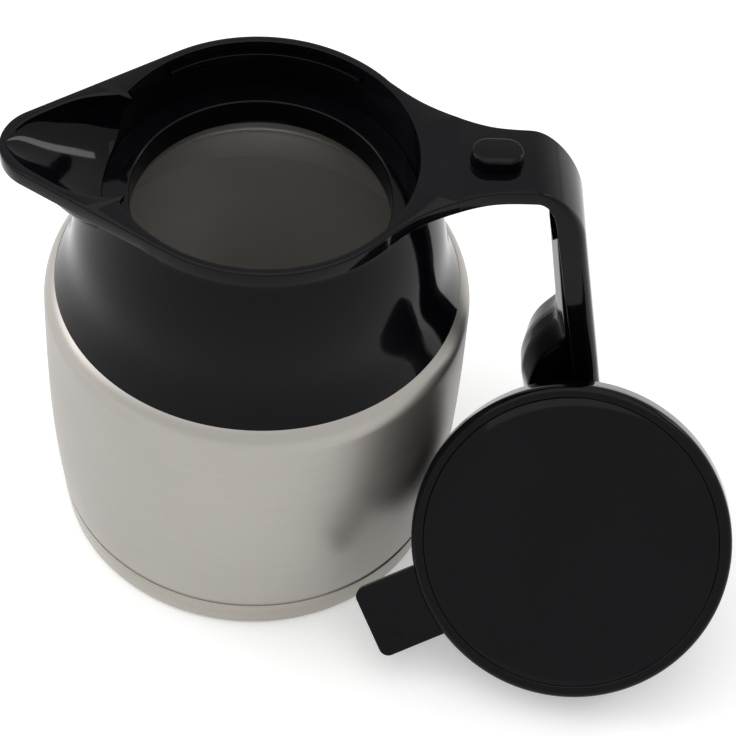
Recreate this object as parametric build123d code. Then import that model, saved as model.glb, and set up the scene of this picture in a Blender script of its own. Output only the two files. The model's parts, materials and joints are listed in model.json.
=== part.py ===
"""Vacuum serving carafe with a pouring spout, an open hooked handle and a round stopper lid.

Millimetres, +Z up. The origin is the centre of the flat foot on the ground. The handle points
along +X and the spout along -X. The lid stands beside the carafe, leaning towards its body.
"""

import os
from math import asin, copysign, cos, hypot, pi, radians, sin, sqrt

from build123d import *

os.makedirs("parts", exist_ok=True)

# ---- Clearances -------------------------------------------------------------------------------
fit_gap = 0.05            # between pieces that are pushed together
slide_gap = 0.3           # between a moving piece and its guide
pin_gap = 0.05            # radial, hinge pin in its bore
lean_gap = 0.3            # between the leaning lid and the carafe
pocket_gap = 0.2          # left under the button when it is pressed, and past the ends of screws
screw_gap = 0.02          # radial, screw in its hole

# ---- Steel body ---------------------------------------------------------------------------------
belly_radius = 69.6
seam_radius = 66.0        # where the dark collar meets the steel
seam_height = 107.1
belly_drop = 15.1         # from the seam down to the widest height
shell_corner_drop = 8.6   # from the seam down to the start of the rounded shoulder
base_band_height = 12.6
base_band_radius = 65.8
foot_inset = 2.5          # from the band's upper edge in to its foot
base_band_lift = 0.4
base_band_toe = 1.2       # how far the band's foot flares out
base_band_toe_height = 2.6
base_band_knee_drop = 3.2
base_band_knee = 0.3
base_band_depth = 3.0     # how far the band's thin edge hangs below the shell floor
groove_height = 1.8
groove_depth = 0.9
shell_start_step = 0.1    # by which the shell's lower edge stands out past the band
steel_wall = 1.0
vacuum_gap = 2.8
vessel_wall = 0.8
vessel_floor_height = 16.2
vessel_corner_radius = 11.0
neck_radius = 43.1        # inside of the steel neck
neck_weld_height = 5.6    # over which the two steel necks lie against each other
neck_flare = 2.6
neck_flare_height = 3.2
shoulder_flat = 4.5
shell_floor_inset = 0.6
foot_thickness = 2.4
foot_rib_inset = 13.3
foot_rib_wall = 2.0
shell_floor_thickness = 1.2
tip_cap_radius = 6.0
tip_cap_height = 3.2
getter_radius = 6.5
getter_height = 1.8
getter_offset = 24.0

# ---- Collar, mouth and spout --------------------------------------------------------------------
rim_height = 163.5
rim_radius = 51.9
dome_ratios = ((0.695, 0.2324), (0.5107, 0.5059), (0.2766, 0.7734))  # shares of the step out and up
rim_lip_radius = 49.2
rim_lip_thickness = 2.2
rim_lip_taper = 1.0
band_height = 5.2         # upright edge that runs round the rim, the spout and the strap
mouth_radius = 50.2
ledge_depth = 19.5        # below the rim
ledge_thickness = 2.2
neck_seal_thickness = 2.2
liner_neck_radius = 41.6
liner_skirt_depth = 9.7
collar_wall = 2.4
seat_radius = 47.5
collar_seal_width = 1.2
collar_seal_inset = 0.8
rib_drop = 5.2            # from the rim down to the bayonet ribs inside the mouth
rib_thickness = 2.0
rib_depth = 1.5
rib_half_angle = 38.0
rib_bearings = (90, 270)  # degrees round the mouth
spout_reach = 81.5
spout_tip_radius = 16.0
channel_half_width = 22.2 # where the channel leaves the mouth
channel_overlap = 10.0    # how far the channel's cut reaches into the mouth
channel_tip_gap = 2.0
channel_steps = 12        # points round half an ellipse, on each cross-section's floor
channel_ratios = (        # shares of the run, half width and depth, and squareness (2 is an ellipse)
    (0.0, 1.04, 1.0, 3.6),
    (0.2, 1.0, 1.0, 3.4),
    (0.43, 0.914, 0.8, 2.9),
    (0.69, 0.65, 0.45, 2.3),
    (0.9, 0.34, 0.15, 2.0),
    (1.0, 0.06, 0.03, 2.0),
)

# ---- Handle -------------------------------------------------------------------------------------
grip_half_width = 13.9
grip_reach = 92.7         # to the top of the grip's straight inner face
grip_splay = 13.0         # how far that face leans out towards its foot
grip_back_reach = 102.9   # to the top of the grip's straight back
grip_back_splay = 13.1
grip_top_drop = 15.2      # drops are measured down from the rim
grip_low_drop = 85.4
grip_back_top_drop = 22.5
grip_back_low_drop = 97.5
grip_end_drop = 119.5
grip_end_offset = 4.6
grip_end_back = 2.4
grip_end_front = 1.8
grip_edge_round = 4.0
corner_middle = (11.0, 6.3)                 # past the strap's end and below the rim
strap_end_setback = 8.7   # from the grip's inner face back to where the strap is narrowest
strap_root = 40.0
strap_flare = (10.7, 4.7, 0.9)              # half width gained over the grip's
strap_ratios = (0.2273, 0.4773, 0.7273)     # at these shares of the strap's run
strap_under_run = 2.0
strap_overlap = 4.0
gusset_half_width = 11.0
gusset_drop = 16.0
insert_half_width = 11.8
insert_thickness = 2.2
insert_top_drop = 20.5
insert_foot_drop = 8.0    # below the end of the grip
insert_rebate_run = 6.0
insert_top_swell = 2.4    # how far the insert stands out of the inner face at its top
insert_low_swell = 3.8
insert_bevel = 2.2        # depth of the slope from its crest down to its sides
insert_bevel_width = 8.3
wing_rise = 16.5          # from the foot of the straight inner face up to the hook's root
hook_length = 16.3        # from the foot of the straight inner face in to the tip
hook_tip_drop = 94.5
hook_bottom_drop = 119.5
hook_toe = 9.1
hook_neck = (5.2, 17.6)
hook_throat = (1.7, -9.8)
peg_drop = 14.0
peg_rise = 10.0
hollow_drop = 8.0
hollow_rise = 4.0
hollow_margin = 3.0
peg_radius = 2.4
peg_length = 2.6

# ---- Handle button ------------------------------------------------------------------------------
button_setback = 11.0     # from the strap's narrowest place
button_length = 16.3
button_width = 11.0
button_rise = 4.5
button_travel = 2.0
button_skin = 1.3
button_lip = 1.0
button_wall = 1.3
button_edge_round = 0.9
cover_thickness = 0.8
cover_edge = 1.2
cover_margin = 3.4
cover_screw_offset = 0.5
cover_screw_radius = 0.8
cover_screw_head_radius = 1.5
cover_screw_head = 0.7
cover_screw_length = 3.2
cover_screw_slot = (2.0, 0.4, 0.3)
button_spring_radius = 2.8
button_spring_wire = 0.35
button_spring_turns = 5

# ---- Lid, drawn upright with its top face at height 0 -------------------------------------------
lid_overhang = 0.6        # past the rim
lid_height = 11.2
lid_edge_round = 2.4
lid_wall = 1.8
lid_ring_inset = 3.9
lid_ring_width = 0.5
lid_ring_depth = 0.3
skirt_gap = 2.4           # inside the bayonet ribs
skirt_depth = 14.0        # below the rim
lug_gap = 0.8             # inside the mouth
lug_drop = 0.6            # below the bayonet ribs
lug_thickness = 3.0
lug_half_angle = 9.0
lug_bearings = (90, 270)  # degrees round the lid
plug_depth = 22.4         # below the rim
gasket_gap = 0.9          # inside the neck lining, relaxed
gasket_width = 2.7
gasket_lift = 1.4         # above the plug's floor
gasket_thickness = 2.6
gasket_lip = 0.8
gasket_lip_bevel = 0.4
gasket_waist = 1.2
plug_spigot = 2.0
plug_flange_width = 1.8
plug_flange_height = 1.4
window_drop = 1.6         # below the rim
window_height = 9.0
window_half_angle = 24.0
port_radius = 9.0
boss_radius = 2.8
lid_screw_radius = 1.2
lid_screw_head_radius = 2.3
lid_screw_head = 1.2
lid_screw_inset = 6.3     # from the skirt
lid_screw_length = 6.0
lid_screw_slot = (3.2, 0.5, 0.5)
lid_locating_ring = 1.2
lever_slot_depth = 8.0    # from the lid's edge inward
lever_slot_gap = 0.4

lever_half_width = 12.4
lever_length = 20.9       # past the lid's edge
lever_thickness = 3.6
lever_top = 2.4
lever_corner = 3.2
lever_edge_round = 0.6
lever_pivot_inset = 18.5  # from the lid's edge
lever_pivot_depth = 6.6
lever_barrel_radius = 2.6
lever_pin_radius = 1.5
lever_arm_half_width = 5.0
lever_arm_thickness = 2.0
lever_travel = 4.0        # degrees
lever_dot_radius = 0.9
lever_dot_inset = (8.4, 5.3)
lever_dot_rise = 0.4
lever_arm_lift = 0.2
ear_thickness = 2.4
stem_radius = 2.0
stem_head_radius = 4.6
stem_head_thickness = 1.0
valve_disc_radius = 12.0
valve_disc_thickness = 1.4
valve_seal_thickness = 1.3
valve_seal_rim = 0.4
valve_spring_radius = 4.2
valve_spring_wire = 0.45
valve_spring_turns = 6

# ---- Where the lid stands -----------------------------------------------------------------------
lid_bearing = -31.8       # degrees round the carafe at which the lid stands
lid_heading = -101.1      # degrees, level direction that the lid's face looks towards
lid_elevation = 39.55     # degrees, how far the face looks up
lid_turn = -146.2         # degrees, how far the thumb lever is turned round the lid

# ---- Sizes that follow --------------------------------------------------------------------------
foot_radius = base_band_radius - foot_inset
foot_rib_radius = foot_radius - foot_rib_inset
band_low = rim_height - band_height
ledge_height = rim_height - ledge_depth
ledge_low = ledge_height - ledge_thickness
neck_height = ledge_low - neck_seal_thickness
rib_top = rim_height - rib_drop
belly_height = seam_height - belly_drop
shell_corner_height = seam_height - shell_corner_drop
shell_start = base_band_height + groove_height
shell_floor_top = base_band_height - shell_floor_inset
shell_floor_low = shell_floor_top - shell_floor_thickness
groove_radius = base_band_radius - groove_depth
shell_start_radius = base_band_radius + shell_start_step
steel_neck_outer = neck_radius + vessel_wall + steel_wall
strap_end = grip_reach - strap_end_setback
grip_inner_top = (grip_reach, rim_height - grip_top_drop)
grip_inner_bottom = (grip_reach + grip_splay, rim_height - grip_low_drop)
grip_outer_top = (grip_back_reach, rim_height - grip_back_top_drop)
grip_outer_bottom = (grip_back_reach + grip_back_splay, rim_height - grip_back_low_drop)
grip_end = (grip_inner_bottom[0] + grip_end_offset, rim_height - grip_end_drop)
insert_top = rim_height - insert_top_drop
hook_tip = (grip_inner_bottom[0] - hook_length, rim_height - hook_tip_drop)
hook_bottom = rim_height - hook_bottom_drop
button_centre = strap_end - button_setback
cover_top = band_low + cover_thickness
flange_top = rim_height - button_skin - fit_gap
flange_low = cover_top + button_travel + pocket_gap
button_top = rim_height + button_rise
lid_radius = rim_radius + lid_overhang
lid_ring_radius = lid_radius - lid_ring_inset
skirt_radius = mouth_radius - rib_depth - skirt_gap
skirt_bottom = lid_height + skirt_depth
lug_radius = mouth_radius - lug_gap
lug_top = lid_height + rib_drop + rib_thickness + lug_drop
gasket_radius = liner_neck_radius - gasket_gap
plug_radius = gasket_radius - gasket_width
plug_bottom = lid_height + plug_depth
gasket_bottom = plug_bottom - gasket_lift
window_top = lid_height + window_drop
lid_screw_circle = skirt_radius - lid_screw_inset
lever_reach = lid_radius + lever_length
lever_pivot_radius = lid_radius - lever_pivot_inset
deck_top = lid_height - lid_wall
plug_floor_top = plug_bottom - lid_wall
seal_top = plug_floor_top - valve_seal_thickness
valve_top = seal_top - valve_disc_thickness
arm_low = lever_pivot_depth + lever_barrel_radius - lever_arm_lift
arm_top = arm_low - lever_arm_thickness
stem_head_low = arm_top - slide_gap
stem_head_top = stem_head_low - stem_head_thickness


# ---- Small helpers ------------------------------------------------------------------------------
def save(node, solid):
    """Write one node."""
    export_step(solid, f"parts/{node}.step")


def spin(edges):
    """Revolve a closed run of edges, drawn as (radius, height), about Z."""
    return revolve(make_face([Plane.XZ * edge for edge in edges]), Axis.Z, 360)


def spin_outline(points):
    """Revolve a closed outline of (radius, height) points about Z."""
    return revolve(make_face(Plane.XZ * Polyline(*points, close=True)), Axis.Z, 360)


def ring(inner, outer, low, high):
    """A plain ring about Z."""
    return spin_outline([(inner, low), (outer, low), (outer, high), (inner, high)])


def disc(radius, low, high, x=0, y=0):
    """An upright plain disc."""
    base = (Align.CENTER, Align.CENTER, Align.MIN)
    return Pos(x, y, low) * Cylinder(radius, high - low, align=base)


def block(x0, x1, y0, y1, z0, z1):
    """A block between two corners."""
    return Pos((x0 + x1) / 2, (y0 + y1) / 2, (z0 + z1) / 2) * Box(x1 - x0, y1 - y0, z1 - z0)


def wedge(radius, middle, half_angle, low, high):
    """A sector about Z, for keeping or cutting an arc of a ring."""
    steps = 8
    points = [(0, 0)]
    for i in range(steps + 1):
        angle = radians(middle - half_angle + 2 * half_angle * i / steps)
        points.append((radius * cos(angle), radius * sin(angle)))
    return Pos(0, 0, low) * extrude(make_face(Polyline(*points, close=True)), high - low)


def side_prism(edges, half_width):
    """Extrude a closed run of edges, drawn as (x, z), evenly to both sides of the XZ plane."""
    return extrude(make_face([Plane.XZ * edge for edge in edges]), half_width, both=True)


def side_outline(points, half_width):
    """The same for a closed outline of (x, z) points."""
    return extrude(make_face(Plane.XZ * Polyline(*points, close=True)), half_width, both=True)


def screw_slot(x, y, low, size):
    """Driver slot in the underside of a screw's head, by its length, width and depth."""
    length, width, depth = size
    return block(x - length / 2, x + length / 2, y - width / 2, y + width / 2, low, low + depth)


def stadium(centre, length, width, low, high):
    """An upright block with round ends along X."""
    return Pos(centre, 0, low) * extrude(SlotOverall(length, width), high - low)


def coil(radius, wire, turns, low, high):
    """A compression spring about Z with its wire between two heights."""
    height = high - low - 2 * wire
    path = Helix(pitch=height / turns, height=height, radius=radius)
    start = Plane(origin=path @ 0, z_dir=path % 0)
    return Pos(0, 0, low + wire) * sweep(start * Circle(wire), path=path)


# ---- Steel body ---------------------------------------------------------------------------------
def body_section(inset, neck, low):
    """Filled section from the axis out to a body surface that lies inset inside the steel shell."""
    belly = belly_radius - inset
    seam = (seam_radius - inset, seam_height - inset)
    cone_start = (seam_radius - inset - shoulder_flat, seam_height - inset)
    neck_start = neck_height - neck_weld_height - inset
    cone_end = (neck + neck_flare, neck_start - neck_flare_height)
    waist = (shell_start_radius - inset, low)
    return [
        Spline(waist, (belly, belly_height), tangents=[(0.13, 1), (0, 1)]),
        Line((belly, belly_height), (belly, shell_corner_height)),
        Spline((belly, shell_corner_height), seam, tangents=[(0, 1), (-1, 0.8)]),
        Polyline(seam, cone_start, cone_end, (neck, neck_start), (neck, neck_height),
                 (0, neck_height), (0, low), waist),
    ]


def build_outer_shell():
    """Brushed outer wall, up over the shoulder to the neck under the collar."""
    outside = spin(body_section(0, steel_neck_outer, shell_start))
    inside = spin(body_section(steel_wall, steel_neck_outer - steel_wall, shell_start))
    lower = ring(groove_radius - steel_wall, groove_radius, shell_floor_top, shell_start)
    joggle = ring(groove_radius - steel_wall, shell_start_radius - steel_wall / 2,
                  shell_start, shell_start + steel_wall)
    return outside - inside + lower + joggle


def build_inner_vessel():
    """The vessel that holds the drink, with the vacuum space between it and the outer shell."""
    outer_inset = steel_wall + vacuum_gap
    outside = spin(body_section(outer_inset, neck_radius + vessel_wall, vessel_floor_height))
    outside = fillet(outside.edges().group_by(Axis.Z)[0], vessel_corner_radius)
    inner_floor = vessel_floor_height + vessel_wall
    inside = spin(body_section(outer_inset + vessel_wall, neck_radius, inner_floor))
    inside = fillet(inside.edges().group_by(Axis.Z)[0], vessel_corner_radius - vessel_wall)
    return outside - inside


def build_shell_floor():
    """Flat floor welded into the foot of the outer shell."""
    return disc(groove_radius, shell_floor_low, shell_floor_top)


def build_base_band():
    """Steel band round the foot, below the groove."""
    high = base_band_height
    outer = [(foot_radius, base_band_lift), (foot_radius + base_band_toe, base_band_toe_height),
             (base_band_radius - base_band_knee, high - base_band_knee_drop), (base_band_radius, high)]
    top_radius = groove_radius + fit_gap
    foot_inside = foot_radius - steel_wall
    inner = [(top_radius, high), (top_radius, shell_floor_low),
             (foot_inside, shell_floor_low - base_band_depth), (foot_inside, base_band_lift)]
    return spin_outline(outer + inner)


def build_foot():
    """Moulded foot with the flat resting face and a ring that carries the shell."""
    plate = disc(foot_radius - steel_wall - fit_gap, 0, foot_thickness)
    rib = ring(foot_rib_radius - foot_rib_wall, foot_rib_radius, foot_thickness, shell_floor_low)
    return plate + rib


def build_tip_cap():
    """Cap over the sealed evacuation tip, under the shell floor."""
    return disc(tip_cap_radius, shell_floor_low - tip_cap_height, shell_floor_low)


def build_getter():
    """Getter pellet on the underside of the inner vessel, inside the vacuum."""
    return disc(getter_radius, vessel_floor_height - getter_height, vessel_floor_height, getter_offset)


save("foot_plate", build_foot())
save("base_band", build_base_band())
save("shell_floor", build_shell_floor())
save("tip_cap", build_tip_cap())
save("getter", build_getter())
save("outer_shell", build_outer_shell())
save("inner_vessel", build_inner_vessel())


# ---- Collar and spout ---------------------------------------------------------------------------
def dome_points(inset):
    """Points up the bell-shaped shoulder, from the steel seam to the band round the rim."""
    return [
        (seam_radius - inset, seam_height),
        *[(rim_radius - inset + out * (seam_radius - rim_radius), seam_height + up * (band_low - seam_height))
          for out, up in dome_ratios],
        (rim_radius - inset, band_low),
    ]


def build_collar_core():
    """The collar's outer shape as a filled solid of revolution."""
    return spin([
        Spline(*dome_points(0)),
        Polyline((rim_radius, band_low), (rim_radius, rim_height), (0, rim_height), (0, seam_height),
                 (seam_radius, seam_height)),
    ])


def beak_face(inset):
    """Plan of the rim and the spout: two circles and their outer tangent lines."""
    reach = spout_reach - spout_tip_radius
    lean = asin((rim_radius - spout_tip_radius) / reach)
    big = rim_radius - inset
    small = spout_tip_radius - inset
    root = (-big * sin(lean), big * cos(lean))
    tip = (-reach - small * sin(lean), small * cos(lean))
    side = Polyline(root, tip)
    nose = ThreePointArc(tip, (-reach - small, 0), (tip[0], -tip[1]))
    back = Polyline((tip[0], -tip[1]), (root[0], -root[1]), root)
    return make_face([side, nose, back])


def channel_section(run, half, depth, squareness, grow, top):
    """One cross-section of the channel, grown by a wall and closed at a height above its floor."""
    start = mouth_radius - channel_overlap
    x = -(start + run * (spout_reach - channel_tip_gap - start))
    across = half * channel_half_width + grow
    down = depth * ledge_depth + grow
    power = 2 / squareness
    left = (x, -across, rim_height)
    right = (x, across, rim_height)
    between = []
    for step in range(1, channel_steps):
        angle = pi * step / channel_steps
        y = copysign(across * abs(cos(angle)) ** power, -cos(angle))
        between.append((x, y, rim_height - down * sin(angle) ** power))
    floor = Spline(left, *between, right, tangents=[(0, 0, -1), (0, 0, 1)])
    sides = Polyline(right, (x, across, top), (x, -across, top), left)
    return make_face([floor, sides])


def build_channel(grow):
    """Solid that fills the pouring channel, from inside the mouth out to the spout's tip."""
    return loft([channel_section(*ratios, grow, rim_height + band_height) for ratios in channel_ratios])


def build_collar():
    """Gloss moulding: shoulder, rim, bayonet ribs and spout in one."""
    core = build_collar_core()
    beak = Pos(0, 0, band_low) * extrude(beak_face(0), band_height)
    bulge = build_channel(collar_wall) & disc(spout_reach, seam_height, rim_height - band_height / 2)
    body = core + beak + bulge
    inner = dome_points(collar_wall)
    void = spin([Spline(*inner), Polyline(inner[-1], (0, band_low), (0, seam_height), inner[0])])
    void &= disc(seam_radius, seam_height, neck_height)
    lip_low = rim_height - rim_lip_thickness - rim_lip_taper
    mouth = disc(mouth_radius, ledge_low, lip_low)
    throat = disc(seat_radius, neck_height, ledge_low)
    lip = disc(rim_lip_radius, lip_low, rim_height)
    body = body - void - mouth - throat - lip - build_channel(0)
    ribs = ring(mouth_radius - rib_depth, mouth_radius, rib_top - rib_thickness, rib_top)
    for middle in rib_bearings:
        body += ribs & wedge(2 * rim_radius, middle, rib_half_angle, 0, rim_height)
    return body


def build_mouth_liner():
    """Ledge and neck lining that closes the gap between the collar and the steel neck."""
    ledge = ring(liner_neck_radius, mouth_radius - fit_gap, ledge_low, ledge_height)
    skirt = ring(liner_neck_radius, neck_radius - fit_gap, ledge_height - liner_skirt_depth, ledge_low)
    return ledge + skirt


def build_neck_seal():
    """Rubber ring on the end of the steel neck, under the ledge."""
    return ring(neck_radius, seat_radius - fit_gap, neck_height, ledge_low)


def build_collar_seal():
    """Rubber ring between the collar's foot and the steel shoulder."""
    outer = seam_radius - collar_wall - collar_seal_inset
    return ring(outer - collar_seal_width, outer, seam_height, seam_height + collar_seal_width)


collar_core = build_collar_core()
save("collar", build_collar())
save("mouth_liner", build_mouth_liner())
save("neck_seal", build_neck_seal())
save("collar_seal", build_collar_seal())


# ---- Handle -------------------------------------------------------------------------------------
grip_lean = (grip_inner_bottom[0] - grip_inner_top[0]) / (grip_inner_top[1] - grip_inner_bottom[1])


def grip_inside(height, depth=0):
    """Point at a height on the grip's straight inner face, or at a depth behind it."""
    return (grip_inner_top[0] + (grip_inner_top[1] - height) * grip_lean + depth, height)


def build_strap():
    """Flat strap that runs out from the rim, widening into it."""
    root = (strap_root, sqrt(rim_radius ** 2 - strap_root ** 2))
    end = (strap_end, grip_half_width)
    run = strap_end - strap_root
    sides = [(strap_root + share * run, grip_half_width + flare)
             for share, flare in zip(strap_ratios, strap_flare)]
    points = [root, *sides, end]
    edge = Spline(*points)
    mirror_edge = Spline(*[(x, -y) for x, y in reversed(points)])
    ends = [Line(end, (end[0], -end[1])), Line((root[0], -root[1]), root)]
    plan = Pos(0, 0, band_low) * extrude(make_face([edge, ends[0], mirror_edge, ends[1]]), band_height)
    inside = rim_height - band_height / 4
    gusset_end = button_centre - cover_length() / 2
    gusset = side_prism([
        Polyline((gusset_end, band_low), (gusset_end, inside), (strap_root, inside),
                 (strap_root, band_low - gusset_drop), (rim_radius, band_low - gusset_drop)),
        Spline((rim_radius, band_low - gusset_drop), (gusset_end, band_low), tangents=[(0.3, 1), (1, 0)]),
    ], gusset_half_width)
    gusset = gusset - collar_core
    return plan - collar_core + gusset


def grip_profile():
    """Side view of the grip: over the corner, down the back and up its straight inner face."""
    lean = (grip_outer_bottom[0] - grip_outer_top[0]) / (grip_outer_top[1] - grip_outer_bottom[1])
    corner = (strap_end + corner_middle[0], rim_height - corner_middle[1])
    end_back = (grip_end[0] + grip_end_back, grip_end[1] + grip_end_back / 2)
    end_front = (grip_inner_bottom[0] - grip_end_front, grip_end[1] + grip_end_front)
    under = (strap_end + strap_under_run, band_low)
    start = strap_end - strap_overlap
    return [
        Polyline(under, (start, band_low), (start, rim_height), (strap_end, rim_height)),
        Spline((strap_end, rim_height), corner, grip_outer_top, tangents=[(1, 0), (lean, -1)]),
        Line(grip_outer_top, grip_outer_bottom),
        Spline(grip_outer_bottom, end_back, tangents=[(lean, -1), (-0.4, -1)]),
        Polyline(end_back, grip_end, end_front, grip_inner_bottom, grip_inner_top),
        Spline(grip_inner_top, under, tangents=[(-grip_lean, 1), (-1, 0)]),
    ]


def back_edges(grip):
    """The two long edges of the grip's back, which are rounded for the hand."""
    found = []
    for edge in grip.edges():
        middle = edge @ 0.5
        on_side = abs(abs(middle.Y) - grip_half_width) < 0.01
        behind = middle.X > max(grip_inside(middle.Z)[0], strap_end) + grip_edge_round
        between = grip_end[1] + grip_edge_round < middle.Z < rim_height - 0.01
        if on_side and behind and between:
            found.append(edge)
    return found


def insert_foot():
    """Lower end of the face that the insert lies against."""
    return (grip_inner_bottom[0] - grip_end_front, grip_end[1] - insert_foot_drop)


def build_handle():
    """Strap and grip moulded in one, with a rebate for the insert and a pocket for the button."""
    grip = side_prism(grip_profile(), grip_half_width)
    grip = fillet(back_edges(grip), grip_edge_round)
    handle = build_strap() + grip
    low_face = insert_foot()
    rebate = side_outline([
        grip_inside(insert_top, -insert_rebate_run),
        grip_inside(insert_top, insert_thickness),
        grip_inside(grip_inner_bottom[1], insert_thickness),
        (low_face[0] + insert_thickness, low_face[1]),
        (low_face[0] - insert_rebate_run, low_face[1]),
    ], insert_half_width + fit_gap)
    hollow_top = insert_top - hollow_drop
    hollow_low = grip_inner_bottom[1] + hollow_rise
    hollow_depth = insert_thickness + peg_length
    hollow = side_outline([
        grip_inside(hollow_top),
        grip_inside(hollow_top, hollow_depth),
        grip_inside(hollow_low, hollow_depth),
        grip_inside(hollow_low),
    ], insert_half_width - hollow_margin)
    handle = handle - rebate - hollow
    cover = cover_length(), button_width + 2 * cover_side()
    handle -= stadium(button_centre, *cover, band_low, cover_top)
    room = 2 * (button_lip + slide_gap)
    handle -= stadium(button_centre, button_length + room, button_width + room,
                      band_low, flange_top + fit_gap)
    handle -= stadium(button_centre, button_length + 2 * slide_gap, button_width + 2 * slide_gap,
                      band_low, rim_height)
    for x in cover_screw_places():
        handle -= disc(cover_screw_radius, cover_top, cover_top + cover_screw_length, x)
    return handle


def slope_sides(insert):
    """Slope the insert's front away from its crest on both sides."""
    for side in (-1, 1):
        face = insert.faces().sort_by(Axis.Y)[-1 if side > 0 else 0]
        front = [edge for edge in face.edges() if edge @ 0.5 != edge @ 0 and is_front(edge @ 0.5)]
        insert = chamfer(front, insert_bevel, insert_bevel_width, reference=face)
    return insert


def is_front(point):
    """Whether a point lies on the side of the insert that the fingers touch."""
    height = point.Z
    if height > insert_top - 1 or height < hook_bottom + 1:
        return False
    return point.X < grip_inside(max(height, grip_inner_bottom[1]))[0] - insert_top_swell / 2


def build_handle_insert():
    """Inner face of the grip with the hooked finger rest at its lower end."""
    behind = insert_thickness - fit_gap
    heel = (insert_foot()[0] + behind, grip_end[1] + grip_end_back / 2)
    toe = (hook_tip[0] + hook_toe, hook_bottom)
    neck = (hook_tip[0] + hook_neck[0], hook_tip[1] + hook_neck[1])
    throat = (hook_tip[0] + hook_throat[0], hook_tip[1] + hook_throat[1])
    wing_start = grip_inside(grip_inner_bottom[1] + wing_rise, -insert_low_swell)
    body = side_prism([
        Polyline(wing_start, grip_inside(insert_top - fit_gap, -insert_top_swell),
                 grip_inside(insert_top - fit_gap, behind),
                 grip_inside(grip_inner_bottom[1], behind), heel),
        Spline(heel, toe, tangents=[(-0.5, -1), (-1, 0.05)]),
        Spline(toe, throat, hook_tip, tangents=[(-1, 0.25), (0, 1)]),
        Spline(hook_tip, neck, wing_start, tangents=[(0, 1), (0, 1)]),
    ], insert_half_width)
    body = slope_sides(body)
    length = peg_length - grip_lean * peg_radius - 2 * fit_gap
    base = (Align.CENTER, Align.CENTER, Align.MIN)
    for height in (insert_top - peg_drop, grip_inner_bottom[1] + peg_rise):
        x, z = grip_inside(height, behind)
        body += Pos(x, 0, z) * Rot(0, 90, 0) * Cylinder(peg_radius, length, align=base)
    return body


# ---- Button -------------------------------------------------------------------------------------
def cover_side():
    """Margin of the button cover beside the button, all round."""
    return button_lip + slide_gap + cover_edge


def cover_length():
    """Length of the button cover, with room for a screw at each end."""
    return button_length + 2 * (cover_side() + cover_margin)


def cover_screw_places():
    """Places of the two cover screws along X."""
    offset = button_length / 2 + cover_side() + cover_screw_offset
    return (button_centre - offset, button_centre + offset)


def build_button():
    """Oval push button, hollow for its spring and held in by a flange."""
    body = stadium(button_centre, button_length, button_width, flange_low, button_top)
    body = fillet(body.edges().group_by(Axis.Z)[-1], button_edge_round)
    flange = stadium(button_centre, button_length + 2 * button_lip, button_width + 2 * button_lip,
                     flange_low, flange_top)
    hollow = stadium(button_centre, button_length - 2 * button_wall, button_width - 2 * button_wall,
                     flange_low, button_top - button_wall)
    return body + flange - hollow


def build_button_cover():
    """Thin plate under the strap that closes the button's pocket."""
    plate = stadium(button_centre, cover_length() - 2 * fit_gap,
                    button_width + 2 * cover_side() - 2 * fit_gap, band_low, cover_top)
    for x in cover_screw_places():
        plate -= disc(cover_screw_radius, band_low, cover_top, x)
    return plate


def build_cover_screws():
    """The two screws of the button cover."""
    screws = []
    for x in cover_screw_places():
        low = band_low - cover_screw_head
        head = disc(cover_screw_head_radius, low, band_low, x)
        shank = disc(cover_screw_radius - screw_gap, band_low, cover_top + cover_screw_length - pocket_gap, x)
        screws.append(head - screw_slot(x, 0, low, cover_screw_slot) + shank)
    return Compound(screws)


def build_button_spring():
    """Compression spring between the cover and the button."""
    spring = coil(button_spring_radius, button_spring_wire, button_spring_turns, cover_top + fit_gap,
                  button_top - button_wall - fit_gap)
    return Pos(button_centre, 0, 0) * spring


save("handle", build_handle())
save("handle_insert", build_handle_insert())
save("button", build_button())
save("button_cover", build_button_cover())
save("button_cover_screws", build_cover_screws())
save("button_spring", build_button_spring())


# ---- Lid pieces, drawn upright with the top face at height 0 and the lever along +X -------------
def lid_screw_places():
    """Centres of the four lid screws."""
    angles = [radians(45 + 90 * i) for i in range(4)]
    return [(lid_screw_circle * cos(angle), lid_screw_circle * sin(angle)) for angle in angles]


def build_lid_top():
    """Round cap with a soft edge, a fine ring on its face and a slot for the lever."""
    low = -lid_height
    cap = disc(lid_radius, low, 0)
    cap = fillet(cap.edges().group_by(Axis.Z)[-1], lid_edge_round)
    cap -= disc(lid_radius - lid_wall, low, -lid_wall)
    cap -= ring(lid_ring_radius - lid_ring_width, lid_ring_radius, -lid_ring_depth, 1)
    inner = lid_radius - lid_wall
    cap += ring(inner - lid_locating_ring, inner, -lid_wall - lid_locating_ring, -lid_wall)
    drop = (lid_radius - lever_pivot_radius) * sin(radians(lever_travel)) + slide_gap
    reach = lever_half_width + lever_slot_gap
    cap -= block(lid_radius - lever_slot_depth, lid_radius + lever_slot_depth, -reach, reach,
                 -(lever_top + lever_thickness + drop), -lid_wall)
    for x, y in lid_screw_places():
        cap += disc(boss_radius, -deck_top, -lid_wall, x, y)
        cap -= disc(lid_screw_radius, -deck_top, -deck_top + lid_screw_length - lid_wall, x, y)
    return cap


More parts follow.
